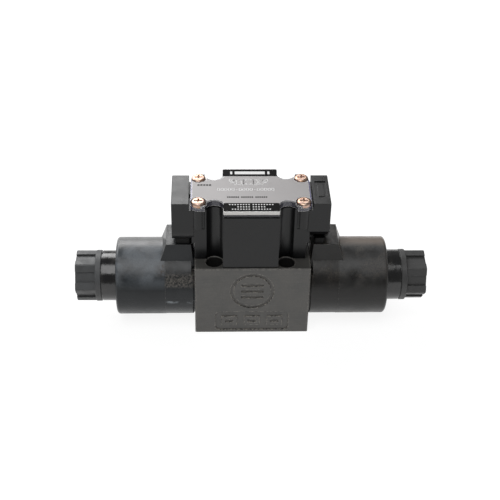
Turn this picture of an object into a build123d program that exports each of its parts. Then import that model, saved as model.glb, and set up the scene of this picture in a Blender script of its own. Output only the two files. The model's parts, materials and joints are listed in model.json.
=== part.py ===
from build123d import *
import math
import os

# Double-solenoid, spring-centred directional valve with a four-port mounting face.
#
# Frame: origin at the centre of the mounting face, on the port pattern's centre.
# +X runs along the spool, +Y runs from the front face to the back, +Z points up.
# All sizes are millimetres.

# Valve body casting
BODY_HALF_LENGTH = 32.5
BODY_HALF_WIDTH = 22.75
BODY_HEIGHT = 46.0
AXIS_Z = 24.3  # height of the spool's axis above the mounting face
BODY_EDGE = 0.5

# Four-port mounting pattern, size 6
MOUNT_HOLES = [(-21.5, -15.5), (19.0, -16.25), (19.0, 16.25), (-21.5, 15.5)]
MOUNT_HOLE_RADIUS = 2.7
SCREW_POCKET_RADIUS = 4.7
SCREW_POCKET_DEPTH = 11.0
PORTS = {"P": (0.0, 10.4), "A": (-8.8, 0.0), "B": (8.7, 0.0), "T": (0.0, -10.4)}
PORT_RADIUS = 3.25
PORT_SEAL_RADIUS = 6.1
PORT_SEAL_DEPTH = 1.35

# Spool, its bore and the galleries round it
BORE_RADIUS = 6.0
BORE_END = 25.0
SPOOL_FIT = 0.03  # radial running clearance of the lands
GALLERY_RADIUS = 9.0
GALLERIES = [(-17.4, -13.9), (-10.9, -6.7), (-2.1, 2.1), (6.6, 10.8), (13.9, 17.4)]
METERING_LAND = (5.85, 11.65)
GUIDE_LAND = (20.4, 24.4)
SPOOL_END = 31.0
SEAT_INNER = 28.2
SEAT_OUTER = 29.4

# Core tube: screwed socket, pole piece, armature chamber and screwed end
SOCKET_START = 26.0
SOCKET_RADIUS = 11.0
FLANGE_RADIUS = 13.0
FLANGE_START = 31.2
FLANGE_SEAT = 29.2
SPRING_POCKET_RADIUS = 8.2
SPRING_POCKET_END = 38.0
TUBE_RADIUS = 10.0
POLE_FACE = 55.0
CHAMBER_RADIUS = 8.6
CHAMBER_END = 85.5
TUBE_SHOULDER = 87.0
TUBE_END = 94.0
STUB_RADIUS = 8.0

# Armature, push pin and manual override pin
ARMATURE_INNER = 58.3
ARMATURE_OUTER = 80.0
ARMATURE_RADIUS = 8.53
PUSH_PIN_RADIUS = 2.0
OVERRIDE_RADIUS = 3.0
OVERRIDE_END = 97.8

# Coil
COIL_INNER = 33.2
COIL_OUTER = 77.4
COIL_STEP = 49.2
COIL_RADIUS = 22.25
COIL_RADIUS_OUTER = 22.35
COIL_BORE = 10.1
YOKE_RADIUS = 20.4
YOKE_WALL = 2.6
BLOCK_TOP = 53.5
BLOCK_INNER = 33.3
KEY_NOTCH_HEIGHTS = (37.5, 43.5)
KEY_NOTCH_DEPTH = 1.2
SEAT_RING = (14.0, 21.5)  # radii of the low ring on the coil's inner face
SEAT_RING_HEIGHT = 0.6

# Coil nut
NUT_END = 101.0
NUT_COLLAR = (86.2, 89.6)
NECK_RADIUS = 14.6
NECK_GROOVE = 0.65  # width and depth of the groove beside the collar
COLLAR_RADIUS = 14.8
GRIP_SIDES = 6
GRIP_APOTHEM = 12.75
GRIP_CORNER = 1.2
GRIP_GROOVE_WIDTH = 6.0
GRIP_GROOVE_DEPTH = 1.0
GRIP_CHAMFER = 0.4
NUT_TURNS = {"right": 40.0, "left": 27.5}  # where each nut's corners ended up, from the top

# Terminal box and its cover, both centred a little to the left of the ports
BOX_CENTRE = -1.3
BOX_FLOOR = 46.5
BOX_RIM = 79.8
BOX_HALF_LENGTH = 32.7
BOX_FOOT_HALF_LENGTH = 31.1
BOX_HALF_WIDTH = 13.2
BOX_WALL = 2.4
CHANNEL_WALL = 1.8
FLOOR_THICKNESS = 2.8
CENTRE_HALF_LENGTH = 15.4
CENTRE_HALF_WIDTH = 21.6
ARM_HALF_LENGTH = 43.7
ARM_HALF_WIDTH = 14.2
ARM_INNER = 34.1
ARM_LIP = 1.1
ARM_BOTTOM = 57.2
ARM_TOP = 84.2
CHANNEL_RADIUS = 4.85
CONDUIT_Z = 70.6
CONDUIT_RADIUS = 9.3
ARM_POCKET_RADIUS = 8.9
THROAT_RADIUS = 7.0
COVER_SCREWS = [(28.8, 11.65), (28.8, -11.65), (-28.8, 11.65), (-28.8, -11.65)]
SCREW_BOSS_RADIUS = 3.7
SCREW_BOSS_BOTTOM = 67.6
COVER_BOTTOM = 80.4
COVER_TOP = 83.8
COVER_CORNER = 4.3
SCREW_SEAT_RADIUS = 4.45
TONGUE_HALF_WIDTH = 21.2
NOTCH_RADIUS = 5.25
PLATE_TOP = 84.0
BOX_SCREWS = [(BOX_CENTRE - 20.0, 0.0), (BOX_CENTRE + 20.0, 0.0)]
TERMINAL_STATIONS = [BOX_CENTRE + offset for offset in (-9.0, -3.0, 3.0, 9.0)]


def rod(x0, x1, radius, y=0.0, z=AXIS_Z):
    """Round bar along X between two stations."""
    return Pos((x0 + x1) / 2, y, z) * Rot(0, 90, 0) * Cylinder(radius, abs(x1 - x0))


def collar(x0, x1, inner, outer):
    """Tube along X on the spool's axis."""
    return rod(x0, x1, outer) - rod(x0 - 1, x1 + 1, inner)


def post(x, y, z0, z1, radius):
    """Upright round bar."""
    return Pos(x, y, (z0 + z1) / 2) * Cylinder(radius, z1 - z0)


def block(x0, x1, y0, y1, z0, z1):
    """Rectangular block between two corners."""
    centre = Pos((x0 + x1) / 2, (y0 + y1) / 2, (z0 + z1) / 2)
    return centre * Box(x1 - x0, y1 - y0, z1 - z0)


def ring(x, mean_radius, section_radius):
    """O-ring round the spool's axis."""
    return Pos(x, 0, AXIS_Z) * Rot(0, 90, 0) * Torus(mean_radius, section_radius)


def mirrored(shape):
    """The same piece on the other side of the ports."""
    return mirror(shape, about=Plane.YZ)


def slab(sketch, z0, z1):
    """Plan-view outline extruded between two heights."""
    return extrude(Pos(0, 0, z0) * sketch, amount=z1 - z0)


def spool_passages():
    """Spool bore, port galleries and the screwed sockets at both ends."""
    cuts = rod(-BORE_END, BORE_END, BORE_RADIUS)
    for start, end in GALLERIES:
        cuts += rod(start, end, GALLERY_RADIUS)
    for side in (-1, 1):
        cuts += rod(side * BORE_END, side * SOCKET_START, SPRING_POCKET_RADIUS)
        cuts += rod(side * SOCKET_START, side * (BODY_HALF_LENGTH + 1), SOCKET_RADIUS + 0.05)
        cuts += rod(side * FLANGE_SEAT, side * (BODY_HALF_LENGTH + 1), FLANGE_RADIUS + 0.1)
    return cuts


def port_passages():
    """The four ports, their seal recesses and the tank cross-gallery."""
    tops = {"P": AXIS_Z, "A": AXIS_Z - 7, "B": AXIS_Z - 7, "T": 10.0}
    cuts = None
    for name, (x, y) in PORTS.items():
        port = post(x, y, -1, tops[name], PORT_RADIUS)
        port += post(x, y, -1, PORT_SEAL_DEPTH, PORT_SEAL_RADIUS)
        cuts = port if cuts is None else cuts + port
    cuts += rod(-17.0, 17.0, 2.9, y=-9.7, z=8.6)
    for side in (-1, 1):
        cuts += post(side * 15.3, -9.7, 8.6, AXIS_Z, 2.4)
    return cuts


def front_castings():
    """Shallow cast recesses on the front face: a round badge and a long panel."""
    face = -BODY_HALF_WIDTH
    depth = 0.6
    badge = Pos(0, face, 30.2) * Rot(90, 0, 0) * Cylinder(12.4, 2 * depth)
    badge -= Pos(0, face, 30.2) * Rot(90, 0, 0) * Cylinder(10.6, 2 * depth)
    for height in (26.0, 30.2, 34.4):
        badge += block(-6.2, 6.2, face - depth, face + depth, height - 0.9, height + 0.9)
    outline = Rectangle(42.0, 13.4)
    outline = fillet(outline.vertices(), 2.6)
    panel = extrude(Plane.XZ * Pos(0, 8.4) * outline, amount=depth, both=True)
    panel = Pos(0, face, 0) * panel
    for centre in (-13.0, 0.0, 13.0):
        panel -= block(centre - 4.4, centre + 4.4, face - 1, face + 1, 5.2, 11.6)
        panel += block(centre - 2.4, centre + 2.4, face - depth, face + depth, 7.4, 9.4)
    return badge + panel


def valve_body():
    """Iron casting with every passage open."""
    body = block(-BODY_HALF_LENGTH, BODY_HALF_LENGTH, -BODY_HALF_WIDTH, BODY_HALF_WIDTH, 0, BODY_HEIGHT)
    body = chamfer(body.edges().filter_by(Axis.Z), BODY_EDGE)
    body = chamfer(body.faces().sort_by(Axis.Z)[-1].edges(), 0.5)
    body -= spool_passages()
    body -= port_passages()
    body -= front_castings()
    for x, y in MOUNT_HOLES:
        body -= post(x, y, -1, BODY_HEIGHT + 1, MOUNT_HOLE_RADIUS)
        body -= post(x, y, BODY_HEIGHT - SCREW_POCKET_DEPTH, BODY_HEIGHT + 1, SCREW_POCKET_RADIUS)
        body -= Pos(x, y, BODY_HEIGHT - 0.25) * Cone(SCREW_POCKET_RADIUS, SCREW_POCKET_RADIUS + 0.5, 0.5)
    for x, y in BOX_SCREWS:
        body -= post(x, y, BODY_HEIGHT - 8.5, BODY_HEIGHT + 1, 1.7)
    return body


def port_o_rings():
    """Four face seals, squeezed flush with the mounting face as they are when bolted down."""
    section = Plane.XZ * Pos(5.05, 0.67) * RectangleRounded(1.95, 1.3, 0.6)
    seal = revolve(section, Axis.Z)
    return Compound(children=[Pos(x, y, 0) * seal for x, y in PORTS.values()])


def spool():
    """Spool with two metering lands, two guide lands and its pin pads."""
    land = BORE_RADIUS - SPOOL_FIT
    inner, outer = METERING_LAND
    shape = rod(-inner, inner, 3.4)
    for side in (-1, 1):
        shape += rod(side * inner, side * outer, land)
        shape += rod(side * outer, side * GUIDE_LAND[0], 3.6)
        shape += rod(side * GUIDE_LAND[0], side * GUIDE_LAND[1], land)
        shape += rod(side * GUIDE_LAND[1], side * SEAT_INNER, 4.4)
        shape += rod(side * SEAT_INNER, side * SPOOL_END, 3.4)
        for offset in (1.3, 2.7):
            station = GUIDE_LAND[0] + offset
            shape -= collar(side * (station - 0.25), side * (station + 0.25), land - 0.35, land + 1)
    return shape


def spring_seat():
    """Cupped washer on the spool's end that the centring spring bears on."""
    seat = rod(SEAT_INNER, SEAT_OUTER, 7.6) + rod(SEAT_OUTER, SEAT_OUTER + 1.0, 5.5)
    return seat - rod(SEAT_INNER - 1, SEAT_OUTER + 2, 3.45)


def centring_spring():
    """Round-wire spring between the spring seat and the pole piece."""
    wire = 0.5
    start = SEAT_OUTER + wire + 0.02
    length = SPRING_POCKET_END - wire - 0.02 - start
    path = Helix(
        pitch=length / 4.5, height=length, radius=6.7, center=(start, 0, AXIS_Z), direction=(1, 0, 0)
    )
    section = Plane(path @ 0, z_dir=path % 0) * Circle(wire)
    return sweep(section, path=path, is_frenet=True)


def core_tube():
    """Pole piece and armature chamber in one screwed-in pressure tube."""
    tube = rod(SOCKET_START, FLANGE_START, SOCKET_RADIUS)
    tube += rod(FLANGE_START, COIL_INNER, FLANGE_RADIUS)
    tube += rod(COIL_INNER, TUBE_SHOULDER, TUBE_RADIUS)
    tube += rod(TUBE_SHOULDER, TUBE_END, STUB_RADIUS)
    tube = chamfer(tube.edges().group_by(Axis.X)[-1], 0.8)
    tube -= rod(SOCKET_START - 1, SPRING_POCKET_END, SPRING_POCKET_RADIUS)
    tube -= rod(SPRING_POCKET_END - 1, POLE_FACE + 1, PUSH_PIN_RADIUS + 0.06)
    tube -= rod(POLE_FACE, CHAMBER_END, CHAMBER_RADIUS)
    tube -= rod(CHAMBER_END - 1, TUBE_END + 1, OVERRIDE_RADIUS + 0.06)
    tube -= collar(89.0, 91.2, 2.0, 4.95)
    return tube


def tube_seal():
    """O-ring between the core tube's flange and the casting."""
    return ring((FLANGE_SEAT + FLANGE_START) / 2, 12.06, 0.95)


def armature():
    """Soft-iron plunger with two oil slots."""
    shape = rod(ARMATURE_INNER, ARMATURE_OUTER, ARMATURE_RADIUS)
    shape = chamfer(shape.edges(), 0.4)
    for side in (-1, 1):
        depth = AXIS_Z + side * ARMATURE_RADIUS
        shape -= block(ARMATURE_INNER - 1, ARMATURE_OUTER + 1, -0.9, 0.9, depth - 1.6, depth + 1.6)
    return shape


def push_pin():
    """Pin that carries the armature's stroke to the spool."""
    return chamfer(rod(SPOOL_END + 0.1, ARMATURE_INNER, PUSH_PIN_RADIUS).edges(), 0.3)


def override_pin():
    """Hand-pushed pin behind the armature, held in by its collar."""
    shape = rod(ARMATURE_OUTER + 0.1, OVERRIDE_END, OVERRIDE_RADIUS)
    shape = chamfer(shape.edges().group_by(Axis.X)[-1], 0.4)
    return shape + rod(ARMATURE_OUTER + 0.1, ARMATURE_OUTER + 1.8, 4.4)


def override_seal():
    """O-ring round the override pin."""
    return ring(90.1, 3.99, 0.93)


def connector_block():
    """Tapered moulding on the coil that carries its two contact blades."""
    base = Pos(43.0, 0, 40.0) * Rectangle(20.0, 24.2)
    top = Pos(41.6, 0, BLOCK_TOP) * Rectangle(14.0, 19.5)
    shape = loft([base, top])
    return shape & block(BLOCK_INNER, 60, -20, 20, 38, 60)


def coil_shell():
    """Moulded coil jacket: two round sections, the connector block and a key notch on each side."""
    sleeve = rod(COIL_INNER, COIL_STEP, COIL_RADIUS)
    drum = rod(COIL_STEP, COIL_OUTER, COIL_RADIUS_OUTER)
    drum = fillet(drum.edges().group_by(Axis.X)[-1], 1.8)
    sleeve = fillet(sleeve.edges().group_by(Axis.X)[0], 0.6)
    sleeve += collar(COIL_INNER - SEAT_RING_HEIGHT, COIL_INNER + 0.5, *SEAT_RING)
    for near, far in ((-24, -11.5), (11.5, 24)):
        sleeve -= block(COIL_INNER - 1, COIL_INNER + KEY_NOTCH_DEPTH, near, far, *KEY_NOTCH_HEIGHTS)
    shell = sleeve + drum + connector_block()
    shell -= rod(COIL_INNER - 1, COIL_OUTER + 1, COIL_BORE)
    shell -= rod(COIL_INNER + 1.5, COIL_OUTER - 1.5, YOKE_RADIUS)
    for y in (-4.5, 4.5):
        shell -= block(37.7, 39.3, y - 1.6, y + 1.6, 40, BLOCK_TOP + 1)
    return shell


def coil_yoke():
    """Steel flux frame: a round case with two end plates."""
    start = COIL_INNER + 1.55
    end = COIL_OUTER - 1.55
    case = collar(start, end, YOKE_RADIUS - YOKE_WALL, YOKE_RADIUS - 0.05)
    case += collar(start, start + 3.0, COIL_BORE + 0.05, YOKE_RADIUS - 0.05)
    case += collar(end - 3.0, end, COIL_BORE + 0.05, YOKE_RADIUS - 0.05)
    for y in (-4.5, 4.5):
        case -= block(37.4, 39.6, y - 1.9, y + 1.9, 40, 50)
    return case


def coil_bobbin():
    """Plastic reel that the wire is wound on."""
    start = COIL_INNER + 4.6
    end = COIL_OUTER - 4.6
    reel = collar(start, end, COIL_BORE + 0.1, 11.4)
    reel += collar(start, start + 1.2, COIL_BORE + 0.1, 17.6)
    reel += collar(end - 1.2, end, COIL_BORE + 0.1, 17.6)
    return reel - block(37.4, 39.6, -7, 7, 40.3, 50)


def coil_winding():
    """Copper winding, drawn as one bundle with rounded edges."""
    bundle = collar(COIL_INNER + 5.9, COIL_OUTER - 5.9, 11.5, 16.6)
    rims = bundle.edges().filter_by(GeomType.CIRCLE).group_by(SortBy.RADIUS)[-1]
    return fillet(rims, 1.2)


def coil_pins():
    """Two contact blades standing out of the connector block."""
    blades = []
    for y in (-4.5, 4.5):
        blades.append(block(38.1, 38.9, y - 1.25, y + 1.25, 42.3, 60.7))
    return Compound(children=blades)


def plug_seal(arm_sign):
    """Rubber collar between the connector block and the terminal box's arm."""
    start = 33.6
    end = 40.7 if arm_sign > 0 else 43.2
    seal = block(start + 1.1, end, -8.8, 8.8, BLOCK_TOP, ARM_BOTTOM)
    seal = fillet(seal.edges().filter_by(Axis.Z), 1.2)
    for y in (-4.5, 4.5):
        seal -= block(37.9, 39.1, y - 1.45, y + 1.45, BLOCK_TOP - 1, ARM_BOTTOM + 1)
    return seal


def nut_grip(turn):
    """Six-sided hand grip with a shallow groove along each flat."""
    section = RegularPolygon(GRIP_APOTHEM, GRIP_SIDES, major_radius=False, rotation=turn)
    section = fillet(section.vertices(), GRIP_CORNER)
    groove = Rectangle(2 * GRIP_GROOVE_DEPTH, GRIP_GROOVE_WIDTH)
    for index in range(GRIP_SIDES):
        flat = turn + 360.0 * (index + 0.5) / GRIP_SIDES
        section -= Rot(0, 0, flat) * Pos(GRIP_APOTHEM, 0) * groove
    start = NUT_COLLAR[1]
    grip = Pos(start, 0, AXIS_Z) * Rot(0, 90, 0) * extrude(section, NUT_END - start)
    return chamfer(grip.edges().group_by(Axis.X)[-1], GRIP_CHAMFER)


def coil_nut(turn):
    """Plastic-jacketed nut that clamps the coil on the core tube."""
    nut = rod(COIL_OUTER, NUT_COLLAR[0], NECK_RADIUS)
    nut -= collar(NUT_COLLAR[0] - NECK_GROOVE, NUT_COLLAR[0], NECK_RADIUS - NECK_GROOVE, NECK_RADIUS + 1)
    ring_part = rod(NUT_COLLAR[0], NUT_COLLAR[1], COLLAR_RADIUS)
    nut += chamfer(ring_part.edges(), 0.35)
    nut += nut_grip(turn)
    nut -= rod(COIL_OUTER - 1, TUBE_SHOULDER, TUBE_RADIUS + 0.1)
    nut -= rod(TUBE_SHOULDER - 1, TUBE_END + 0.5, STUB_RADIUS + 0.05)
    nut -= rod(TUBE_END, NUT_END + 1, OVERRIDE_RADIUS + 0.3)
    nut -= rod(NUT_END - 1.6, NUT_END + 1, 5.6)
    nut -= collar(COIL_OUTER - 1, COIL_OUTER + 1.6, 10.9, 13.0)
    return nut


def nut_seal():
    """O-ring between the nut and the coil's outer face."""
    return ring(COIL_OUTER + 0.78, 11.95, 0.77)


def plan_rectangle(half_length, half_width, inset=0.0):
    """Plan-view rectangle centred on the terminal box."""
    return Pos(BOX_CENTRE, 0) * Rectangle(2 * (half_length - inset), 2 * (half_width - inset))


def bolt_circles(radius):
    """Plan-view circles on the four mounting-bolt axes."""
    circles = Sketch()
    for x, y in MOUNT_HOLES:
        circles += Pos(x, y) * Circle(radius)
    return circles


def screw_circles(radius):
    """Plan-view circles on the four cover-screw axes."""
    circles = Sketch()
    for x, y in COVER_SCREWS:
        circles += Pos(BOX_CENTRE + x, y) * Circle(radius)
    return circles


def box_outline(half_length, inset=0.0):
    """Outer plan of the terminal box with its four bolt channels."""
    plan = plan_rectangle(half_length, BOX_HALF_WIDTH, inset)
    plan += plan_rectangle(CENTRE_HALF_LENGTH, CENTRE_HALF_WIDTH, inset)
    return plan - bolt_circles(CHANNEL_RADIUS + inset)


def box_cavity():
    """Inner plan of the terminal box, clear of its channels and screw bosses."""
    plan = plan_rectangle(BOX_HALF_LENGTH, BOX_HALF_WIDTH, BOX_WALL)
    plan += plan_rectangle(CENTRE_HALF_LENGTH, CENTRE_HALF_WIDTH, BOX_WALL)
    plan -= bolt_circles(CHANNEL_RADIUS + CHANNEL_WALL)
    return plan - screw_circles(SCREW_BOSS_RADIUS)


def arm_openings(side):
    """Conduit bore (left) or blind pocket (right), wire troughs and blade slots of one arm."""
    outer, radius = BOX_CENTRE + side * (ARM_HALF_LENGTH + 1), CONDUIT_RADIUS
    if side > 0:
        outer, radius = BOX_CENTRE + side * (ARM_HALF_LENGTH - 2.6), ARM_POCKET_RADIUS
    shoulder = BOX_CENTRE + side * (BOX_HALF_LENGTH + 0.8)
    inside = BOX_CENTRE + side * (BOX_HALF_LENGTH - BOX_WALL - 1)
    cuts = rod(outer, shoulder, radius, z=CONDUIT_Z)
    cuts += rod(shoulder, inside, THROAT_RADIUS, z=CONDUIT_Z)
    low, high = min(side * 40.1, inside), max(side * 40.1, inside)
    for y in (-4.5, 4.5):
        cuts += block(low, high, y - 1.5, y + 1.5, 59.3, CONDUIT_Z - 4)
        cuts += block(side * 38.5 - 0.6, side * 38.5 + 0.6, y - 1.45, y + 1.45, ARM_BOTTOM - 1, 61)
    return cuts


def arm_panel():
    """Framed recess on top of the right arm."""
    middle = BOX_CENTRE + (ARM_INNER + ARM_HALF_LENGTH) / 2
    outline = RectangleRounded(6.2, 16.4, 0.6)
    recess = slab(Pos(middle, 0) * outline, ARM_TOP - 0.5, ARM_TOP + 1)
    rib = slab(Pos(middle, 0) * RectangleRounded(3.4, 13.0, 0.5), ARM_TOP - 0.6, ARM_TOP - 0.25)
    return recess - rib


def plug_arm(side):
    """Side arm over a coil's connector block; its lip wraps the end of the terminal box."""
    outer = BOX_CENTRE + side * ARM_HALF_LENGTH
    lip = BOX_CENTRE + side * (BOX_HALF_LENGTH - ARM_LIP)
    low, high = min(outer, lip), max(outer, lip)
    arm = block(low, high, -ARM_HALF_WIDTH, ARM_HALF_WIDTH, ARM_BOTTOM, ARM_TOP)
    lower_edges = arm.edges().filter_by(Axis.X).group_by(Axis.Z)[0]
    if side < 0:
        arm = fillet(lower_edges, 8.2)
    else:
        arm = chamfer(lower_edges, 8.4)
    outer_edges = arm.faces().sort_by(Axis.X)[0 if side < 0 else -1].edges()
    arm = fillet(outer_edges, 0.5)
    arm -= slab(plan_rectangle(ARM_INNER, ARM_HALF_WIDTH + 1), BOX_RIM, ARM_TOP + 1)
    arm -= slab(plan_rectangle(BOX_HALF_LENGTH, BOX_HALF_WIDTH), ARM_BOTTOM - 1, BOX_RIM + 1)
    arm -= slab(screw_circles(SCREW_BOSS_RADIUS), SCREW_BOSS_BOTTOM, BOX_RIM + 1)
    return arm - arm_openings(side)


def drip_slots():
    """Moulded slots between the cover-screw bosses and the side walls."""
    slots = None
    for x, y in COVER_SCREWS:
        centre = BOX_CENTRE + x - math.copysign(2.6, x)
        edge = math.copysign(BOX_HALF_WIDTH + 1.2, y)
        slot = block(centre - 0.6, centre + 0.6, edge - 1.6, edge + 1.6, SCREW_BOSS_BOTTOM - 1, BOX_RIM + 1)
        slots = slot if slots is None else slots + slot
    return slots


def terminal_box():
    """Moulded wiring box that stands on the valve body."""
    box = slab(box_outline(BOX_HALF_LENGTH), ARM_BOTTOM, BOX_RIM)
    box += slab(box_outline(BOX_FOOT_HALF_LENGTH), BOX_FLOOR, ARM_BOTTOM)
    box += slab(screw_circles(SCREW_BOSS_RADIUS) - bolt_circles(CHANNEL_RADIUS), SCREW_BOSS_BOTTOM, BOX_RIM)
    foot = plan_rectangle(BOX_FOOT_HALF_LENGTH, BOX_HALF_WIDTH, BOX_WALL)
    foot += plan_rectangle(CENTRE_HALF_LENGTH, CENTRE_HALF_WIDTH, BOX_WALL)
    foot -= bolt_circles(CHANNEL_RADIUS + CHANNEL_WALL)
    box -= slab(foot, BOX_FLOOR + FLOOR_THICKNESS, ARM_BOTTOM + 2)
    box -= slab(box_cavity(), ARM_BOTTOM + 2, BOX_RIM + 1)
    for side in (-1, 1):
        box -= arm_openings(side)
    for x, y in COVER_SCREWS:
        box -= post(BOX_CENTRE + x, y, BOX_RIM - 11, BOX_RIM + 1, 1.95)
    for x, y in BOX_SCREWS:
        box -= post(x, y, BOX_FLOOR - 1, BOX_FLOOR + 4, 2.2)
    return box - drip_slots()


def box_gasket():
    """Flat seal under the terminal box."""
    plan = box_outline(BOX_FOOT_HALF_LENGTH, 0.5)
    plan -= plan_rectangle(CENTRE_HALF_LENGTH - 3, CENTRE_HALF_WIDTH - 3)
    for x, y in BOX_SCREWS:
        plan -= Pos(x, y) * Circle(2.3)
    return slab(plan, BODY_HEIGHT, BOX_FLOOR)


def pan_screw(x, y, seat, head_radius, head_height, shank_radius, length):
    """Pan-head screw with a cross recess, standing upright on its seat."""
    head = post(x, y, seat, seat + head_height, head_radius)
    head = fillet(head.edges().group_by(Axis.Z)[-1], head_height * 0.55)
    screw = head + post(x, y, seat - length, seat, shank_radius)
    top = seat + head_height
    slot = head_radius * 0.55
    screw -= block(x - slot, x + slot, y - 0.45, y + 0.45, top - 1.1, top + 1)
    screw -= block(x - 0.45, x + 0.45, y - slot, y + slot, top - 1.1, top + 1)
    return screw


def box_screws():
    """Two screws that hold the terminal box to the casting."""
    seat = BOX_FLOOR + FLOOR_THICKNESS
    return Compound(children=[pan_screw(x, y, seat, 3.6, 2.2, 1.65, 10.5) for x, y in BOX_SCREWS])


def cover_screws():
    """Four screws that hold the cover to the terminal box."""
    screws = []
    for x, y in COVER_SCREWS:
        screws.append(pan_screw(BOX_CENTRE + x, y, PLATE_TOP - 1.7, 4.0, 2.5, 1.9, 12.0))
    return Compound(children=screws)


def cover_outline(inset=0.0):
    """Plan of the cover: two tongues and four notches over the mounting bolts."""
    half_length = 28.8 + COVER_CORNER
    half_width = 11.65 + COVER_CORNER
    plan = plan_rectangle(half_length, half_width, inset)
    plan = fillet(plan.vertices(), COVER_CORNER - inset)
    tongue = plan_rectangle(CENTRE_HALF_LENGTH, TONGUE_HALF_WIDTH, inset)
    plan += fillet(tongue.vertices(), 0.8)
    return plan - bolt_circles(NOTCH_RADIUS + inset)


def terminal_box_cover():
    """Clear cover plate with sunk seats for its screws."""
    cover = slab(cover_outline(), COVER_BOTTOM, COVER_TOP)
    cover -= slab(screw_circles(2.2), COVER_BOTTOM - 1, COVER_TOP + 1)
    cover -= slab(screw_circles(SCREW_SEAT_RADIUS), PLATE_TOP - 1.7, COVER_TOP + 1)
    inner = plan_rectangle(23.0, 7.6) + plan_rectangle(CENTRE_HALF_LENGTH - 3.2, CENTRE_HALF_WIDTH - 3.6)
    cover -= slab(inner, COVER_BOTTOM - 1, COVER_BOTTOM + 1.4)
    return cover


def cover_gasket():
    """Flat seal between the terminal box's rim and its cover."""
    plan = box_outline(BOX_HALF_LENGTH, 0.5) - box_cavity() - screw_circles(2.3)
    return slab(plan, BOX_RIM, COVER_BOTTOM)


def nameplate():
    """Thin metal plate bonded on the cover."""
    plan = cover_outline(0.6) - screw_circles(SCREW_SEAT_RADIUS)
    return slab(plan, COVER_TOP, PLATE_TOP).solids().sort_by(SortBy.VOLUME)[-1]


def terminal_block():
    """Terminal strip for the supply and coil wires."""
    x0 = BOX_CENTRE - 12.6
    x1 = BOX_CENTRE + 12.6
    floor = BOX_FLOOR + FLOOR_THICKNESS
    strip = block(x0, x1, -7.0, 7.0, floor, floor + 7.0)
    for index in range(5):
        x = x0 + 0.6 + index * (x1 - x0 - 1.2) / 4
        strip += block(x - 0.6, x + 0.6, -7.0, 7.0, floor + 7.0, floor + 11.0)
    for x in TERMINAL_STATIONS:
        strip -= post(x, 0.0, floor + 1.5, floor + 12, 1.55)
    for side, x in ((-1, x0), (1, x1)):
        for y in (-3.6, 3.6):
            strip -= rod(x - side * 3.0, x + side, 0.85, y=y, z=floor + 4.0)
    return strip


def terminal_screws():
    """Clamp screws of the terminal strip."""
    seat = BOX_FLOOR + 9.8
    screws = [pan_screw(x, 0.0, seat, 2.2, 1.6, 1.5, 5.0) for x in TERMINAL_STATIONS]
    return Compound(children=screws)


def lead_wires():
    """Four insulated wires from the contact blades to the terminal strip."""
    wires = []
    height = BOX_FLOOR + 6.8
    for side in (-1, 1):
        for row in (-1, 1):
            route = [
                (side * 39.2, row * 4.5, 61.5),
                (side * 28.0, row * 4.5, 61.5),
                (BOX_CENTRE + side * 19.0, row * 3.6, height),
                (BOX_CENTRE + side * 10.0, row * 3.6, height),
            ]
            path = FilletPolyline(*route, radius=5.0)
            section = Plane(path @ 0, z_dir=path % 0) * Circle(0.75)
            wires.append(sweep(section, path=path))
    return Compound(children=wires)


def paired(name, right, left=None):
    """Both hands of a piece that is fitted on each side."""
    return {name + "_right": right, name + "_left": mirrored(left if left is not None else right)}


def all_pieces():
    """Every piece by its node name."""
    pieces = {
        "valve_body": valve_body(),
        "spool": spool(),
        "port_o_rings": port_o_rings(),
        "terminal_box": terminal_box(),
        "plug_arm_left": plug_arm(-1),
        "plug_arm_right": plug_arm(1) - arm_panel(),
        "box_gasket": box_gasket(),
        "box_screws": box_screws(),
        "terminal_block": terminal_block(),
        "terminal_screws": terminal_screws(),
        "lead_wires": lead_wires(),
        "cover_gasket": cover_gasket(),
        "terminal_box_cover": terminal_box_cover(),
        "nameplate": nameplate(),
        "cover_screws": cover_screws(),
    }
    pieces.update(paired("spring_seat", spring_seat()))
    pieces.update(paired("centring_spring", centring_spring()))
    pieces.update(paired("core_tube", core_tube()))
    pieces.update(paired("tube_seal", tube_seal()))
    pieces.update(paired("armature", armature()))
    pieces.update(paired("push_pin", push_pin()))
    pieces.update(paired("override_pin", override_pin()))
    pieces.update(paired("override_seal", override_seal()))
    pieces.update(paired("coil_shell", coil_shell()))
    pieces.update(paired("coil_yoke", coil_yoke()))
    pieces.update(paired("coil_bobbin", coil_bobbin()))
    pieces.update(paired("coil_winding", coil_winding()))
    pieces.update(paired("coil_pins", coil_pins()))
    pieces.update(paired("plug_seal", plug_seal(1), plug_seal(-1)))
    pieces.update(paired("coil_nut", coil_nut(NUT_TURNS["right"]), coil_nut(NUT_TURNS["left"])))
    pieces.update(paired("nut_seal", nut_seal()))
    return pieces


os.makedirs("parts", exist_ok=True)
for node, shape in all_pieces().items():
    export_step(shape, "parts/" + node + ".step")
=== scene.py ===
import json
import math

import bmesh
import bpy
from mathutils import Matrix, Vector


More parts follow.
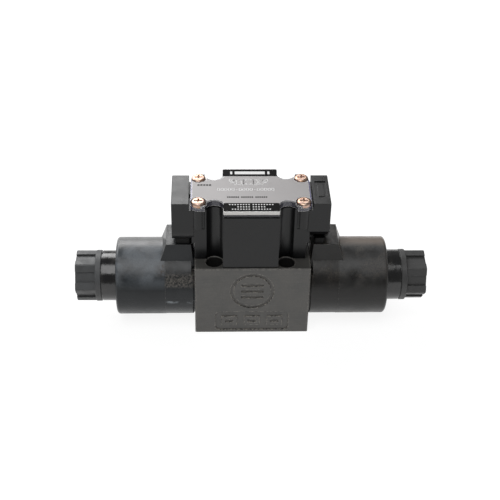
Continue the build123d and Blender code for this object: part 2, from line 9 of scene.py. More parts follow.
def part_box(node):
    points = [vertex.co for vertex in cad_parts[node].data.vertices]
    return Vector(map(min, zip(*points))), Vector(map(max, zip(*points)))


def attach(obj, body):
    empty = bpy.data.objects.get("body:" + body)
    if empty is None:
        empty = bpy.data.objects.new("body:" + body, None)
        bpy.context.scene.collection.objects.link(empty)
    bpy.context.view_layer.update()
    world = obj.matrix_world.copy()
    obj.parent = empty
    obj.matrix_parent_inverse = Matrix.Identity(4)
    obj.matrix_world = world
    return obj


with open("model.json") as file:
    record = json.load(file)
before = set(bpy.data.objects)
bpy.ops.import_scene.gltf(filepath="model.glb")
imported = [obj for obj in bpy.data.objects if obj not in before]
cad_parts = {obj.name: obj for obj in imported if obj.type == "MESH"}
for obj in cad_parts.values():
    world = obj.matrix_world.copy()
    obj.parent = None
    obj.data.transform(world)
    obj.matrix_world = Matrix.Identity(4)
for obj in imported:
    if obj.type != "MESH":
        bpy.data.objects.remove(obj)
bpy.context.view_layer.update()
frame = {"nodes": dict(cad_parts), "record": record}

MM = 0.001
ROOT_BODY = "valve"

# Camera: above and in front, a little to the left
CAMERA_PITCH = 36.98
CAMERA_YAW = 2.52
CAMERA_ROLL = 1.33
CAMERA_DISTANCE = 0.6448
CAMERA_TARGET = Vector((-0.0009, 0.0, 0.0423))
CAMERA_LENS = 80.76

# The floor is a translucent sheet lit from below, so the contact shadows stay faint
FLOOR_GLOW = 0.88
FLOOR_HALF_SIZE = 8.0
WORLD_STRENGTH = 0.2

# Places on the valve that the materials change at, in millimetres
SPOOL_AXIS_Z = 24.3
DRUM_START = (48.5, 50.0)  # distance from the middle where a coil's inner sleeve meets its drum
COLLAR_START = (86.1, 86.3)  # the same for a nut's neck and its collar
POCKET_RADII = (4.9, 4.65)
POCKET_TOP = (45.9, 45.3)

# Cosines between a face and its rounded edge: below the second it counts fully as an edge
EDGE_COSINES = (0.995, 0.8)


# ---------------------------------------------------------------- material graph helpers

class Graph:
    """A small wrapper that builds one procedural material."""

    def __init__(self, name):
        self.material = bpy.data.materials.new(name)
        self.material.use_nodes = True
        self.tree = self.material.node_tree
        self.tree.nodes.clear()
        self.output = self.tree.nodes.new("ShaderNodeOutputMaterial")
        self.shader = self.tree.nodes.new("ShaderNodeBsdfPrincipled")
        self.link(self.shader.outputs[0], self.output.inputs["Surface"])
        coordinates = self.tree.nodes.new("ShaderNodeTexCoord")
        self.place = coordinates.outputs["Object"]

    def link(self, source, target):
        self.tree.links.new(source, target)

    def feed(self, value, socket):
        """Links a socket, or sets a plain value."""
        if isinstance(value, bpy.types.NodeSocket):
            self.link(value, socket)
        else:
            socket.default_value = value

    def settings(self, **values):
        """Sets constant values on the shader's own sockets."""
        for name, value in values.items():
            self.shader.inputs[name.replace("_", " ")].default_value = value

    def stretch(self, scale, place=None):
        """Coordinates scaled separately along X, Y and Z."""
        node = self.tree.nodes.new("ShaderNodeMapping")
        self.link(place or self.place, node.inputs["Vector"])
        node.inputs["Scale"].default_value = scale
        return node.outputs[0]

    def noise(self, size, detail=3.0, roughness=0.5, place=None, distortion=0.0):
        """Noise whose blobs are about the given size in metres."""
        node = self.tree.nodes.new("ShaderNodeTexNoise")
        self.link(place or self.place, node.inputs["Vector"])
        node.inputs["Scale"].default_value = 1.0 / size
        node.inputs["Detail"].default_value = detail
        node.inputs["Roughness"].default_value = roughness
        node.inputs["Distortion"].default_value = distortion
        return node.outputs["Fac"]

    def cells(self, size):
        """Distance to scattered points spaced about the given size in metres."""
        node = self.tree.nodes.new("ShaderNodeTexVoronoi")
        self.link(self.place, node.inputs["Vector"])
        node.inputs["Scale"].default_value = 1.0 / size
        return node.outputs["Distance"]

    def span(self, value, low, high, to_low=0.0, to_high=1.0):
        """Value remapped and clamped between two limits."""
        node = self.tree.nodes.new("ShaderNodeMapRange")
        self.link(value, node.inputs["Value"])
        node.inputs["From Min"].default_value = low
        node.inputs["From Max"].default_value = high
        node.inputs["To Min"].default_value = to_low
        node.inputs["To Max"].default_value = to_high
        return node.outputs[0]

    def math(self, operation, a, b=0.0):
        node = self.tree.nodes.new("ShaderNodeMath")
        node.operation = operation
        self.feed(a, node.inputs[0])
        self.feed(b, node.inputs[1])
        return node.outputs[0]

    def product(self, *factors):
        """All the factors multiplied together."""
        result = factors[0]
        for factor in factors[1:]:
            result = self.math("MULTIPLY", result, factor)
        return result

    def off(self, value, middle):
        """How far a value is from a middle, either way."""
        return self.math("ABSOLUTE", self.math("SUBTRACT", value, middle))

    def mix(self, factor, a, b):
        """Colour a blended towards colour b."""
        node = self.tree.nodes.new("ShaderNodeMix")
        node.data_type = "RGBA"
        self.feed(factor, node.inputs["Factor"])
        self.feed(a, node.inputs[6])
        self.feed(b, node.inputs[7])
        return node.outputs[2]

    def axis(self, index):
        """One coordinate of the surface point, in metres."""
        node = self.tree.nodes.new("ShaderNodeSeparateXYZ")
        self.link(self.place, node.inputs[0])
        return node.outputs[index]

    def edges(self, radius):
        """1 on sharp edges, 0 on faces."""
        bevel = self.tree.nodes.new("ShaderNodeBevel")
        bevel.samples = 4
        bevel.inputs["Radius"].default_value = radius
        geometry = self.tree.nodes.new("ShaderNodeNewGeometry")
        dot = self.tree.nodes.new("ShaderNodeVectorMath")
        dot.operation = "DOT_PRODUCT"
        self.link(bevel.outputs[0], dot.inputs[0])
        self.link(geometry.outputs["Normal"], dot.inputs[1])
        return self.span(dot.outputs["Value"], *EDGE_COSINES)

    def facing(self, index, low, high):
        """Mask by one part of the surface's normal: 0 at low, 1 at high."""
        geometry = self.tree.nodes.new("ShaderNodeNewGeometry")
        split = self.tree.nodes.new("ShaderNodeSeparateXYZ")
        self.link(geometry.outputs["Normal"], split.inputs[0])
        return self.span(split.outputs[index], low, high)

    def soft_edges(self, radius):
        """Normal with its sharp edges rounded over the given radius."""
        bevel = self.tree.nodes.new("ShaderNodeBevel")
        bevel.samples = 4
        bevel.inputs["Radius"].default_value = radius
        return bevel.outputs[0]

    def bump(self, height, depth, normal=None):
        """Surface relief of the given depth in metres."""
        node = self.tree.nodes.new("ShaderNodeBump")
        node.inputs["Strength"].default_value = 1.0
        node.inputs["Distance"].default_value = depth
        self.link(height, node.inputs["Height"])
        if normal is not None:
            self.link(normal, node.inputs["Normal"])
        return node.outputs[0]

    def finish(self, colour, roughness, normal):
        self.feed(colour, self.shader.inputs["Base Color"])
        self.feed(roughness, self.shader.inputs["Roughness"])
        if normal is not None:
            self.link(normal, self.shader.inputs["Normal"])
        return self.material


def grey(value, tint=(1.0, 1.0, 1.0)):
    return (value * tint[0], value * tint[1], value * tint[2], 1.0)


# ---------------------------------------------------------------- materials

def bolt_pockets(g):
    """1 inside the four bolt head pockets, 0 elsewhere."""
    inside = None
    for opening in frame["record"]["physics"]["openings"]:
        if not opening["name"].startswith("bolt_channel"):
            continue
        low, high = opening["box_m"]
        across = g.math("SUBTRACT", g.axis(0), (low[0] + high[0]) / 2)
        along = g.math("SUBTRACT", g.axis(1), (low[1] + high[1]) / 2)
        reach = g.math("SQRT", g.math("ADD", g.product(across, across), g.product(along, along)))
        pocket = g.span(reach, POCKET_RADII[0] * MM, POCKET_RADII[1] * MM)
        inside = pocket if inside is None else g.math("MAXIMUM", inside, pocket)
    return g.product(inside, g.span(g.axis(2), POCKET_TOP[0] * MM, POCKET_TOP[1] * MM))


def cast_iron():
    """Dark phosphated casting: sand texture, ground lines, painted shade in the bolt pockets, on upward
    faces and along the front relief's edges, and rubbed edges.
    """
    g = Graph("cast_iron")
    g.settings(IOR=1.5)
    sand = g.noise(0.5 * MM, 4.0, 0.65)
    lines = g.noise(1.0, 3.0, 0.6, g.stretch((90.0, 500.0, 1900.0)))
    pits = g.span(g.cells(0.9 * MM), 0.1, 0.45)
    mottle = g.noise(9 * MM, 4.0, 0.6)
    base = g.mix(g.span(mottle, 0.35, 0.65), grey(0.06, (1.0, 0.98, 0.92)), grey(0.08, (1.0, 0.96, 0.89)))
    base = g.mix(g.product(g.span(lines, 0.5, 0.75), 0.35), base, grey(0.11, (1.0, 0.97, 0.9)))
    base = g.mix(g.product(g.span(sand, 0.55, 0.75), 0.4), base, grey(0.15, (1.0, 0.96, 0.9)))
    rims = g.edges(0.9 * MM)
    # painted shade: the edges of the cast relief on the front face are darkened to near black
    front = g.product(g.span(g.axis(1), -21 * MM, -22 * MM), g.span(g.axis(2), 42 * MM, 40 * MM))
    scuff_and_shade_marks = g.product(rims, front, g.span(g.math("ABSOLUTE", g.axis(0)), 27 * MM, 24 * MM))
    base = g.mix(g.product(scuff_and_shade_marks, 0.8), base, grey(0.01))
    # painted shade: upward faces darkened towards a warm near black
    base = g.mix(g.product(g.facing(2, 0.7, 0.9), 0.6), base, grey(0.03, (1.0, 0.98, 0.88)))
    rubbed = g.product(rims, g.span(g.noise(1.4 * MM, 4.0, 0.75), 0.44, 0.56))
    base = g.mix(rubbed, base, grey(0.3, (1.0, 0.92, 0.82)))
    # painted shade: the bolt pockets are filled near black
    base = g.mix(bolt_pockets(g), base, grey(0.002))
    relief = g.bump(sand, 0.06 * MM, g.soft_edges(0.3 * MM))
    relief = g.bump(lines, 0.012 * MM, relief)
    relief = g.bump(pits, 0.025 * MM, relief)
    return g.finish(base, g.span(mottle, 0.3, 0.7, 0.5, 0.62), relief)


def moulded_black(name, level, roughness, grain, depth, tint=(1.0, 1.0, 1.0), ior=1.45):
    """Black moulded plastic with fine grain, faint clouding, light scuffs and paler edges."""
    g = Graph(name)
    g.settings(IOR=ior)
    cloud = g.noise(7 * MM, 3.0, 0.55)
    scuffs = g.noise(1.0, 5.0, 0.7, g.stretch((90.0, 520.0, 520.0)))
    scuff_and_shade_marks = g.product(g.span(scuffs, 0.62, 0.74), g.span(cloud, 0.45, 0.65))
    worn = g.product(g.edges(0.3 * MM), g.span(g.noise(3 * MM), 0.4, 0.65))
    base = g.mix(g.span(cloud, 0.3, 0.7), grey(level * 0.8, tint), grey(level * 1.25, tint))
    base = g.mix(g.product(scuff_and_shade_marks, 0.4), base, grey(level * 5.0, tint))
    base = g.mix(g.product(worn, 0.5), base, grey(level * 6.0, tint))
    gloss = g.span(cloud, 0.3, 0.7, roughness - 0.04, roughness + 0.05)
    gloss = g.math("ADD", gloss, g.product(scuff_and_shade_marks, 0.15))
    return g.finish(base, gloss, g.bump(g.noise(grain, 2.0, 0.6), depth, g.soft_edges(0.25 * MM)))


def varnished_coil():
    """Coil jacket: blue-black varnish under a mottled painted grey highlight, strongest on the left, dusty
    brown on the right.
    """
    g = Graph("coil_plastic")
    g.settings(IOR=1.42)
    patches = g.noise(13 * MM, 3.0, 0.55, distortion=0.4)
    speckle = g.noise(0.7 * MM, 4.0, 0.75)
    across = g.axis(0)
    left = g.span(across, 1 * MM, -1 * MM)
    height = g.axis(2)
    upper = g.facing(2, 0.25, 0.6)
    drum = g.span(g.math("ABSOLUTE", across), DRUM_START[0] * MM, DRUM_START[1] * MM)

    # painted highlight on the drums' upper side, mottled, palest along the drums' top strip
    top_highlight = g.product(upper, drum, g.span(patches, 0.35, 0.6, 0.25, 1.0))
    top_highlight = g.product(top_highlight, g.span(speckle, 0.25, 0.6, 0.6, 1.0))
    top_highlight_colour = g.mix(left, grey(0.045, (1.0, 1.0, 1.0)), grey(0.13, (0.9, 1.0, 1.1)))
    varnish = g.mix(left, grey(0.006, (1.1, 1.0, 0.9)), grey(0.006, (0.7, 1.0, 1.3)))
    base = g.mix(top_highlight, varnish, top_highlight_colour)
    # painted highlight: the drums' top strip, turning up and away, is lightened, most on the left
    crown_highlight = g.product(g.facing(1, -0.12, 0.1), drum, g.facing(2, 0.1, 0.5))
    crown_highlight_colour = g.mix(left, grey(0.14, (1.15, 0.95, 0.8)), grey(0.2))
    base = g.mix(g.product(crown_highlight, 0.8), base, crown_highlight_colour)
    dust = g.product(g.span(g.noise(9 * MM, 3.0, 0.6), 0.46, 0.6), upper, g.span(speckle, 0.42, 0.7))
    dust_share = g.mix(left, grey(0.5), grey(0.25))
    base = g.mix(g.product(dust, dust_share), base, grey(0.09, (1.2, 1.0, 0.8)))

    # a scrape and a grimy patch on the left sleeve, brown stain beside its connector block
    sleeve = g.product(left, g.span(drum, 1.0, 0.0))
    streaks = g.noise(1.0, 3.0, 0.6, g.stretch((160.0, 420.0, 420.0)))
    scrape = g.product(sleeve, g.span(streaks, 0.46, 0.6))
    scrape = g.product(scrape, g.span(g.off(height, 21.8 * MM), 1.5 * MM, 0.7 * MM))
    base = g.mix(scrape, base, grey(0.16, (0.9, 1.0, 1.08)))
    grime = g.product(sleeve, g.span(g.off(height, 35 * MM), 4 * MM, 2.4 * MM))
    grime = g.product(grime, g.span(g.noise(1.1 * MM, 4.0, 0.8), 0.42, 0.6))
    base = g.mix(grime, base, grey(0.12, (1.08, 1.0, 0.9)))
    stain = g.product(left, drum, g.span(across, -56 * MM, -51 * MM))
    stain = g.product(stain, g.span(g.off(height, 40.2 * MM), 3.4 * MM, 1.6 * MM))
    stain = g.product(stain, g.span(g.noise(1.4 * MM, 4.0, 0.75), 0.4, 0.56))
    base = g.mix(g.product(stain, 0.85), base, grey(0.02, (1.5, 1.0, 0.7)))

    worn = g.product(g.edges(0.4 * MM), g.span(g.noise(2.5 * MM, 3.0), 0.42, 0.6))
    base = g.mix(g.product(worn, 0.6), base, grey(0.2, (1.05, 1.0, 0.92)))
    gloss = g.math("ADD", g.span(patches, 0.3, 0.62, 0.26, 0.4), g.product(dust, 0.2))
    seam = g.span(g.off(height, SPOOL_AXIS_Z * MM), 0.1 * MM, 0.25 * MM)
    relief = g.bump(g.noise(0.45 * MM, 3.0, 0.6), 0.03 * MM, g.soft_edges(0.3 * MM))
    relief = g.bump(g.noise(4 * MM, 2.0, 0.5), 0.12 * MM, relief)
    return g.finish(base, gloss, g.bump(seam, 0.04 * MM, relief))


def nut_plastic():
    """Coil nut: glossy moulded neck, dry matt grip with a painted highlight on its upper side and rubbed
    corners.
    """
    g = Graph("nut_plastic")
    g.settings(IOR=1.6)
    grip = g.span(g.math("ABSOLUTE", g.axis(0)), COLLAR_START[0] * MM, COLLAR_START[1] * MM)
    cloud = g.noise(6 * MM, 3.0, 0.6)
    speckle = g.noise(0.6 * MM, 4.0, 0.75)
    neck = g.mix(g.span(cloud, 0.5, 0.7), grey(0.006, (1.0, 1.0, 1.05)), grey(0.014, (1.15, 1.0, 0.85)))
    dry = g.mix(g.span(speckle, 0.35, 0.7), grey(0.012, (1.0, 1.0, 1.02)), grey(0.024, (1.0, 1.0, 1.0)))
    worn = g.product(g.edges(0.35 * MM), g.span(g.noise(2.5 * MM, 3.0), 0.42, 0.62))
    left = g.span(g.axis(0), 1 * MM, -1 * MM)
    # painted highlight: the grip's upward faces are lightened, more on the left
    top_highlight = g.mix(left, grey(0.03), grey(0.055, (0.95, 1.0, 1.05)))
    dry = g.mix(g.product(g.facing(2, -0.1, 0.5), g.span(cloud, 0.3, 0.7, 0.6, 1.0)), dry, top_highlight)
    base = g.mix(grip, neck, dry)
    base = g.mix(g.product(worn, 0.5), base, grey(0.1))
    smooth = g.span(cloud, 0.35, 0.68, 0.12, 0.3)
    gloss = g.math("ADD", g.product(grip, 0.34), smooth)
    relief = g.bump(speckle, 0.012 * MM, g.soft_edges(0.25 * MM))
    return g.finish(base, gloss, g.bump(g.noise(3.5 * MM, 2.0, 0.5), 0.1 * MM, relief))


def turned_metal(name, colour, roughness, line=0.12):
    """Lathe-turned metal with fine rings across the spool's axis."""
    g = Graph(name)
    g.settings(Metallic=1.0)
    rings = g.noise(1.0, 2.0, 0.6, g.stretch((1.0 / (line * MM), 60.0, 60.0)))
    stain = g.noise(5 * MM, 4.0)
    base = g.mix(g.span(stain, 0.35, 0.7), tuple(c * 0.85 for c in colour) + (1.0,), tuple(colour) + (1.0,))
    rough = g.span(rings, 0.3, 0.7, roughness - 0.06, roughness + 0.08)
    return g.finish(base, rough, g.bump(rings, 0.004 * MM, g.soft_edges(0.15 * MM)))


def rubber():
    """Nitrile rubber with a dusty bloom."""
    g = Graph("seal_rubber")
    g.settings(IOR=1.25)
    bloom = g.noise(1.5 * MM, 4.0, 0.65)
    base = g.mix(g.span(bloom, 0.4, 0.75), grey(0.003), grey(0.01))
    return g.finish(base, g.span(bloom, 0.3, 0.7, 0.5, 0.68), g.bump(g.noise(0.2 * MM), 0.01 * MM))


def clear_plastic():
    """Clear moulded cover: painted highlights on the edges and the lips' upper part, painted shade on the
    lips below, violet ends.
    """
    g = Graph("clear_cover")
    g.settings(IOR=1.49)
    flow = g.noise(1.0, 3.0, 0.5, g.stretch((70.0, 240.0, 240.0)))
    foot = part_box("terminal_box_cover")[0].z
    lip = g.span(g.math("ABSOLUTE", g.axis(1)), 19.6 * MM, 20.4 * MM)
    upper = g.span(g.axis(2), foot + 1.3 * MM, foot + 1.6 * MM)
    # painted highlight on the edges and along the upper part of the front and back lips
    edge_highlight = g.product(g.edges(0.7 * MM), g.math("MAXIMUM", upper, g.span(lip, 1.0, 0.0)))
    cover_highlight = g.math("MAXIMUM", edge_highlight, g.product(lip, upper))
    ends = g.span(g.off(g.axis(0), -1.3 * MM), 32.0 * MM, 32.6 * MM)
    base = g.mix(g.span(flow, 0.3, 0.7), (0.04, 0.04, 0.06, 1.0), (0.2, 0.2, 0.24, 1.0))
    base = g.mix(ends, base, (0.08, 0.07, 0.36, 1.0))
    # painted shade: the front and back lips are dark below their upper part
    base = g.mix(lip, base, (0.02, 0.02, 0.03, 1.0))
    base = g.mix(cover_highlight, base, (0.62, 0.61, 0.59, 1.0))
    g.feed(g.span(cover_highlight, 0.0, 1.0, 0.6, 0.1), g.shader.inputs["Transmission Weight"])
    return g.finish(base, g.span(flow, 0.3, 0.7, 0.05, 0.12), g.soft_edges(0.3 * MM))


def brushed_plate():
    """Aluminium nameplate, brushed along its length."""
    g = Graph("plate_metal")
    g.settings(Metallic=1.0)
    brush = g.noise(1.0, 4.0, 0.7, g.stretch((160.0, 9000.0, 9000.0)))
    haze = g.noise(14 * MM, 2.0)
    base = g.mix(g.span(brush, 0.3, 0.7), (0.27, 0.262, 0.262, 1.0), (0.32, 0.31, 0.31, 1.0))
    base = g.mix(g.span(haze, 0.35, 0.65, 0.0, 0.35), base, (0.33, 0.32, 0.32, 1.0))
    base = g.mix(g.edges(0.5 * MM), base, (0.8, 0.8, 0.82, 1.0))
    relief = g.bump(brush, 0.0025 * MM, g.soft_edges(0.3 * MM))
    return g.finish(base, g.span(brush, 0.25, 0.75, 0.5, 0.62), relief)


def plated_screw():
    """Yellow-zinc plating: warm metal with a faint rainbow drift."""
    g = Graph("screw_metal")
    g.settings(Metallic=1.0)
    drift = g.noise(2.6 * MM, 3.0)
    base = g.mix(g.span(drift, 0.35, 0.65), (0.44, 0.26, 0.17, 1.0), (0.56, 0.42, 0.33, 1.0))
    pink = g.product(g.span(g.noise(1.1 * MM, 2.0), 0.5, 0.66), 0.6)
    base = g.mix(pink, base, (0.52, 0.38, 0.42, 1.0))
    relief = g.bump(g.noise(0.25 * MM), 0.008 * MM, g.soft_edges(0.25 * MM))
    return g.finish(base, g.span(drift, 0.3, 0.7, 0.28, 0.4), relief)


def printed_ink(name, level):
    """Screen-printed ink with slightly uneven cover."""
    g = Graph(name)
    g.settings(IOR=1.1)
    cover = g.noise(0.8 * MM, 4.0, 0.6)
    base = g.mix(g.span(cover, 0.3, 0.7), grey(level * 0.85), grey(level * 1.1))
    return g.finish(base, g.span(cover, 0.3, 0.7, 0.36, 0.48), g.bump(cover, 0.003 * MM))


def wound_copper():
    """Enamelled winding with a turn every half millimetre."""
    g = Graph("copper")
    g.settings(Metallic=1.0)
    wave = g.tree.nodes.new("ShaderNodeTexWave")
    wave.bands_direction = "X"
    wave.inputs["Scale"].default_value = 320.0
    g.link(g.place, wave.inputs["Vector"])
    turns = wave.outputs["Fac"]
    base = g.mix(turns, (0.28, 0.09, 0.03, 1.0), (0.72, 0.32, 0.14, 1.0))
    return g.finish(base, g.span(turns, 0.0, 1.0, 0.45, 0.25), g.bump(turns, 0.12 * MM))


def plain_plastic(name, colour, roughness):
    """Light moulded plastic with a faint cloud in it."""
    g = Graph(name)
    g.settings(IOR=1.5)
    cloud = g.noise(4 * MM, 3.0)
    dark = tuple(c * 0.8 for c in colour) + (1.0,)
    base = g.mix(g.span(cloud, 0.3, 0.7), dark, tuple(colour) + (1.0,))
    gloss = g.span(cloud, 0.3, 0.7, roughness - 0.05, roughness + 0.08)
    return g.finish(base, gloss, g.bump(g.noise(0.3 * MM), 0.008 * MM))


MATERIALS = {
    "cast_iron": cast_iron(),
    "spool_steel": turned_metal("spool_steel", (0.62, 0.62, 0.63), 0.2),
    "spring_steel": turned_metal("spring_steel", (0.42, 0.42, 0.43), 0.32, 0.3),
    "tube_steel": turned_metal("tube_steel", (0.5, 0.49, 0.46), 0.34),
    "soft_iron": turned_metal("soft_iron", (0.4, 0.4, 0.41), 0.38),
    "yoke_steel": turned_metal("yoke_steel", (0.16, 0.16, 0.17), 0.45, 0.5),
    "copper": wound_copper(),
    "contact_brass": turned_metal("contact_brass", (0.78, 0.6, 0.3), 0.28, 0.4),
    "bobbin_plastic": plain_plastic("bobbin_plastic", (0.68, 0.64, 0.52), 0.5),
    "coil_plastic": varnished_coil(),
    "nut_plastic": nut_plastic(),
    "box_plastic": moulded_black("box_plastic", 0.004, 0.3, 0.25 * MM, 0.006 * MM, (0.95, 0.99, 1.08), 1.4),
    "terminal_plastic": plain_plastic("terminal_plastic", (0.55, 0.52, 0.42), 0.5),
    "seal_rubber": rubber(),
    "clear_cover": clear_plastic(),
    "plate_metal": brushed_plate(),
    "screw_metal": plated_screw(),
    "zinc_screw": turned_metal("zinc_screw", (0.66, 0.67, 0.68), 0.3, 0.3),
    "wire_sheath": plain_plastic("wire_sheath", (0.5, 0.04, 0.03), 0.4),
}
INK_BLACK = printed_ink("ink_black", 0.004)
INK_WHITE = printed_ink("ink_white", 0.75)


def dress_frame():
    """Gives every carried-over node the procedural material of its slot."""
    for part in frame["record"]["subparts"]:
        node = frame["nodes"][part["node"]]
        material = MATERIALS[part["material_slot"]]
        if not node.material_slots:
            node.data.materials.append(material)
        for slot in node.material_slots:
            slot.material = material


# ---------------------------------------------------------------- printed nameplate

# Row of open boxes and dashes, in millimetres from the middle of the plate
ROW_START = -18.4
ROW_STEP = 2.0
ROW_LENGTH = 16
ROW_DASHES = (5, 10)


def new_object(name, mesh, material):
    piece = bpy.data.objects.new(name, mesh)
    bpy.context.scene.collection.objects.link(piece)
    mesh.materials.append(material)
    return piece


class Print:
    """One ink layer on the nameplate; sizes are millimetres from the middle of the plate."""

    def __init__(self, level, thickness):
        low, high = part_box("nameplate")
        self.middle = (low + high) / 2
        self.bottom = high.z + level * MM
        self.top = self.bottom + thickness * MM
        self.shape = bmesh.new()

    def patch(self, outline):
        """Thin patch with the given outline, listed anticlockwise."""
        places = [(self.middle.x + x * MM, self.middle.y + y * MM) for x, y in outline]
        lower = [self.shape.verts.new((x, y, self.bottom)) for x, y in places]
        upper = [self.shape.verts.new((x, y, self.top)) for x, y in places]
        self.shape.faces.new(reversed(lower))
        self.shape.faces.new(upper)
        for index in range(len(places)):
            following = (index + 1) % len(places)
            self.shape.faces.new((lower[index], lower[following], upper[following], upper[index]))

    def bar(self, x0, x1, y0, y1, corner=0.25, steps=4):
        """Rectangle with rounded corners."""
        middles = [(x1, y0, -90), (x1, y1, 0), (x0, y1, 90), (x0, y0, 180)]
        outline = []
        for x, y, start in middles:
            inward = (math.copysign(corner, x0 + x1 - 2 * x), math.copysign(corner, y0 + y1 - 2 * y))
            for step in range(steps + 1):
                angle = math.radians(start + 90 * step / steps)
                reach = (corner * math.cos(angle), corner * math.sin(angle))
                outline.append((x + inward[0] + reach[0], y + inward[1] + reach[1]))
        self.patch(outline)

    def line(self, start, end, width=0.3):
        """Straight stroke between two points."""
        along = Vector((end[0] - start[0], end[1] - start[1])).normalized()
        across = Vector((-along.y, along.x)) * width / 2
        first, last = Vector(start), Vector(end)
        self.patch([first - across, last - across, last + across, first + across])

    def words(self, x, y, lengths, height, gap=0.9):
        """A row of plain bars in place of words, centred on a point."""
        start = x - (sum(lengths) + gap * (len(lengths) - 1)) / 2
        for length in lengths:
            self.bar(start, start + length, y - height / 2, y + height / 2, 0.2)
            start += length + gap

    def letters(self, x, y, words, height, width=1.0, gap=0.4):
        """A row of small bars, one for each letter of the given word lengths, centred on a point."""
        start = x - (sum(words) * (width + gap) + (len(words) - 1) * width) / 2
        for count in words:
            for _ in range(count):
                self.bar(start, start + width, y - height / 2, y + height / 2, 0.15, 2)
                start += width + gap
            start += width

    def finish(self, name, material):
        mesh = bpy.data.meshes.new(name)
        self.shape.to_mesh(mesh)
        self.shape.free()
        piece = new_object(name, mesh, material)
        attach(piece, ROOT_BODY)
        return piece


def print_frame(ink, x0, x1, y0, y1):
    """Outline of a box."""
    ink.line((x0, y0), (x1, y0))
    ink.line((x1, y0), (x1, y1))
    ink.line((x1, y1), (x0, y1))
    ink.line((x0, y1), (x0, y0))


def print_arrow(ink, start, end):
    """Stroke with an arrow head at its end."""
    ink.line(start, end)
    along = Vector((end[0] - start[0], end[1] - start[1])).normalized()
    across = Vector((-along.y, along.x))
    tip = Vector(end)
    ink.patch([tip, tip - 1.1 * along + 0.5 * across, tip - 1.1 * along - 0.5 * across])


def flow_symbol(ink, x, y, cell=5.4):
    """Three-position, four-way valve symbol with springs and solenoids at its ends."""
    low, high = y - cell / 2, y + cell / 2
    for step in (-1.5, -0.5, 0.5):
        print_frame(ink, x + step * cell, x + (step + 1) * cell, low, high)
    for port in (-0.25, 0.25):
        ink.line((x + port * cell, low), (x + port * cell, low + 1.1))
        ink.line((x + port * cell, high), (x + port * cell, high - 1.1))
        ink.line((x + (port - 0.1) * cell, low + 1.1), (x + (port + 0.1) * cell, low + 1.1))
        ink.line((x + (port - 0.1) * cell, high - 1.1), (x + (port + 0.1) * cell, high - 1.1))
        print_arrow(ink, (x + (port - 1) * cell, low), (x + (port - 1) * cell, high))
    print_arrow(ink, (x + 0.75 * cell, low), (x + 1.25 * cell, high))
    print_arrow(ink, (x + 0.75 * cell, high), (x + 1.25 * cell, low))
    for side in (-1, 1):
        end = x + side * 1.5 * cell
        for turn in range(3):
            start = end + side * 0.7 * turn
            ink.line((start, y - 1.5), (start + side * 0.35, y - 0.1), 0.25)
            ink.line((start + side * 0.35, y - 0.1), (start + side * 0.7, y - 1.5), 0.25)
        near, far = sorted((end, end + side * 2.6))
        print_frame(ink, near, far, y + 0.4, high)
        ink.line((near, y + 0.4), (far, high), 0.25)


def nameplate_print():
    """Two black bands, a flow symbol and rows of bars where a real plate has words."""
    band = Print(-0.01, 0.03)
    band.bar(-15.2, 15.2, 13.6, 20.6, 0.7)
    band.bar(-15.2, 15.2, -20.6, -12.9, 0.7)
    band.letters(-25.4, 4.7, (5,), 1.3, 1.2, 0.4)
    band.letters(-2.0, -7.2, (6, 6, 6), 1.2, 0.85, 0.3)
    band.finish("print_black", INK_BLACK)
    light = Print(-0.01, 0.05)
    light.words(0.0, 17.0, (1.2, 17.0, 1.2), 2.8, 1.4)
    light.letters(0.2, -14.4, (8, 8), 0.8, 0.8, 0.7)
    light.letters(0.2, -16.6, (5, 5), 0.8, 0.8, 0.7)
    light.letters(0.2, -18.8, (7, 7), 0.8, 0.8, 0.7)
    for place in range(ROW_LENGTH):
        left = ROW_START + ROW_STEP * place
        if place in ROW_DASHES:
            light.line((left + 0.2, 0.3), (left + 1.2, 0.3))
        else:
            print_frame(light, left, left + 1.3, -0.8, 1.4)
    flow_symbol(light, -1.0, 7.8)
    light.finish("print_white", INK_WHITE)


dress_frame()
nameplate_print()


# ---------------------------------------------------------------- floor, lights and camera

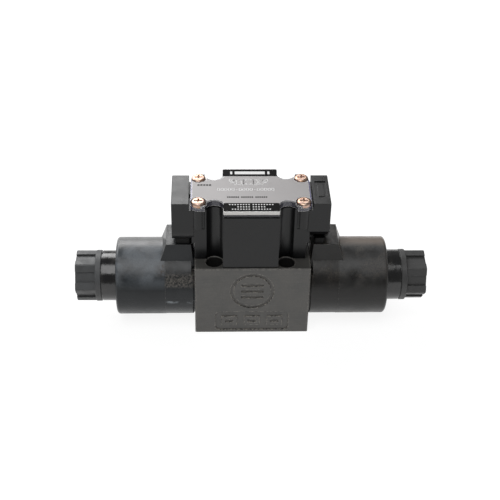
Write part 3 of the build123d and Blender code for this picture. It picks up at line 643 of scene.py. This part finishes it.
def studio_floor():
    mesh = bpy.data.meshes.new("studio_floor")
    size = FLOOR_HALF_SIZE
    corners = [(-size, -size, 0), (size, -size, 0), (size, size, 0), (-size, size, 0)]
    mesh.from_pydata(corners, [], [(0, 1, 2, 3)])
    g = Graph("floor_paper")
    cloud = g.noise(60 * MM, 2.0)
    base = g.mix(g.span(cloud, 0.3, 0.7), grey(0.2), grey(0.22))
    g.settings(Emission_Color=grey(1.0), Emission_Strength=FLOOR_GLOW)
    g.finish(base, 0.8, None)
    floor = new_object("studio_floor", mesh, g.material)


def softbox(name, azimuth, elevation, distance, size, power):
    """Rectangular soft light aimed at the valve; azimuth 0 is behind it, 90 to its right."""
    data = bpy.data.lights.new(name, "AREA")
    data.shape = "RECTANGLE"
    data.size, data.size_y = size
    data.energy = power
    turn = math.radians(azimuth)
    rise = math.radians(elevation)
    ray = Vector((math.sin(turn) * math.cos(rise), math.cos(turn) * math.cos(rise), math.sin(rise)))
    lamp = bpy.data.objects.new(name, data)
    lamp.location = CAMERA_TARGET + distance * ray
    lamp.rotation_euler = (-ray).to_track_quat("-Z", "Y").to_euler()
    bpy.context.scene.collection.objects.link(lamp)


def studio_world():
    world = bpy.data.worlds.new("studio")
    world.use_nodes = True
    background = world.node_tree.nodes["Background"]
    background.inputs["Color"].default_value = (1.0, 1.0, 1.0, 1.0)
    background.inputs["Strength"].default_value = WORLD_STRENGTH
    bpy.context.scene.world = world


def product_camera():
    pitch = math.radians(CAMERA_PITCH)
    yaw = math.radians(CAMERA_YAW)
    forward = Vector((math.sin(yaw) * math.cos(pitch), math.cos(yaw) * math.cos(pitch), -math.sin(pitch)))
    right = Vector((math.cos(yaw), -math.sin(yaw), 0.0))
    up = right.cross(forward)
    basis = Matrix((right, up, -forward)).transposed().to_4x4()
    data = bpy.data.cameras.new("product_camera")
    data.lens = CAMERA_LENS
    data.sensor_width = 36.0
    camera = bpy.data.objects.new("product_camera", data)
    roll = Matrix.Rotation(math.radians(CAMERA_ROLL), 4, "Z")
    camera.matrix_world = Matrix.Translation(CAMERA_TARGET - CAMERA_DISTANCE * forward) @ basis @ roll
    bpy.context.scene.collection.objects.link(camera)
    bpy.context.scene.camera = camera


studio_floor()
studio_world()
softbox("back_left_box", -31, 38, 1.6, (1.7, 0.75), 25.0)
softbox("front_top_box", 203, 64, 1.35, (0.95, 0.93), 9.0)
product_camera()
bpy.context.scene.view_settings.view_transform = "Standard"
